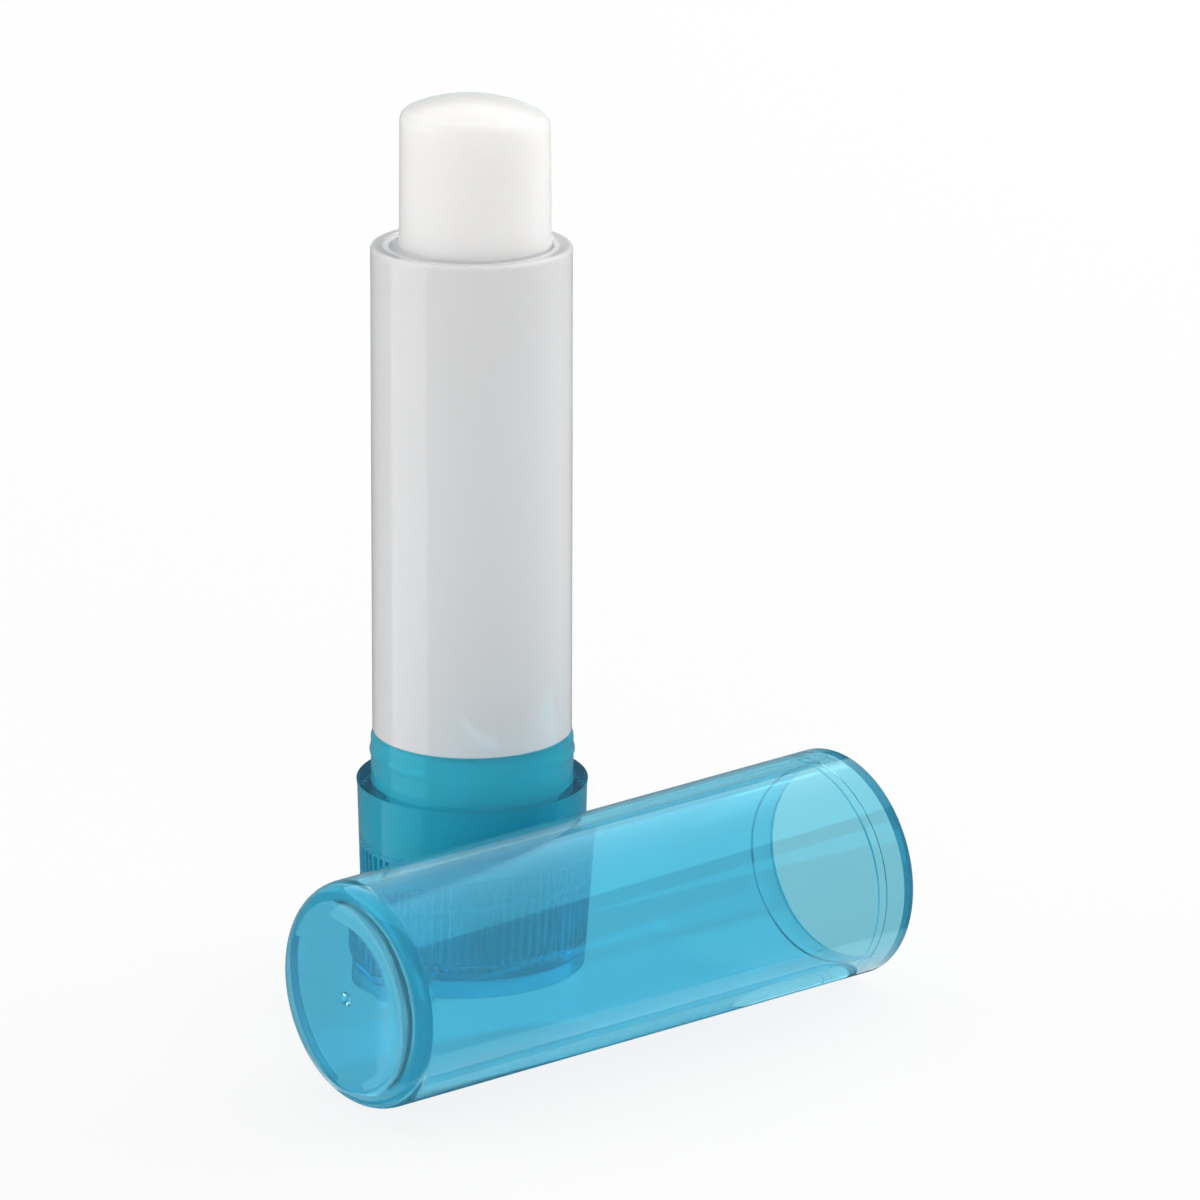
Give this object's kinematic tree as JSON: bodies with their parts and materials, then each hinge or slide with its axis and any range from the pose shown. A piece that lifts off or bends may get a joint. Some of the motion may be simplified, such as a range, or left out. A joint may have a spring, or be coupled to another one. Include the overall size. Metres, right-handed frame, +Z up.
{
  "type": "lip balm stick",
  "caption": "Twist-up lip balm stick with a clear blue ribbed base and a white tube, standing with its balm raised, and its clear blue cap lying beside it.",
  "frame": {"origin": "on the floor under the middle of the set of stick and cap", "axes": "+Z up along the stick's axis, +X along the lying cap's axis towards its mouth, +Y from the cap towards the stick"},
  "size_m": [0.051, 0.038, 0.074],
  "materials": {
    "clear_blue_plastic": "transparent teal-blue polystyrene, high gloss",
    "white_gloss_plastic": "white moulded plastic, glossy",
    "white_natural_plastic": "white moulded plastic, satin, slightly milky",
    "balm_wax": "cast lip balm, waxy, slightly translucent"
  },
  "bodies": {
    "base": {"twist_base": "clear_blue_plastic", "guide_sleeve": "white_natural_plastic"},
    "barrel": {"outer_tube": "white_gloss_plastic"},
    "carrier": {"carrier_cup": "white_natural_plastic", "balm": "balm_wax"},
    "cap": {"cap": "clear_blue_plastic"}
  },
  "joints": [
    {"name": "tube_twist", "type": "hinge", "parent": "base", "child": "barrel", "pos_m": [0.00175, 0.00943, 0.0213], "axis": [0, 0, 1], "range_deg": [-368, 262]},
    {"name": "carrier_lift", "type": "slide", "parent": "base", "child": "carrier", "axis": [0, 0, 1], "range_m": [-0.01311, 0.01841]},
    {"name": "cap_lift", "type": "slide", "parent": "base", "child": "cap", "axis": [0, 0, 1], "range_m": [0, 0.08]}
  ],
  "couplings": [
    {"joint": "carrier_lift", "follows": "tube_twist", "m_per_rad": -0.0028648}
  ]
}
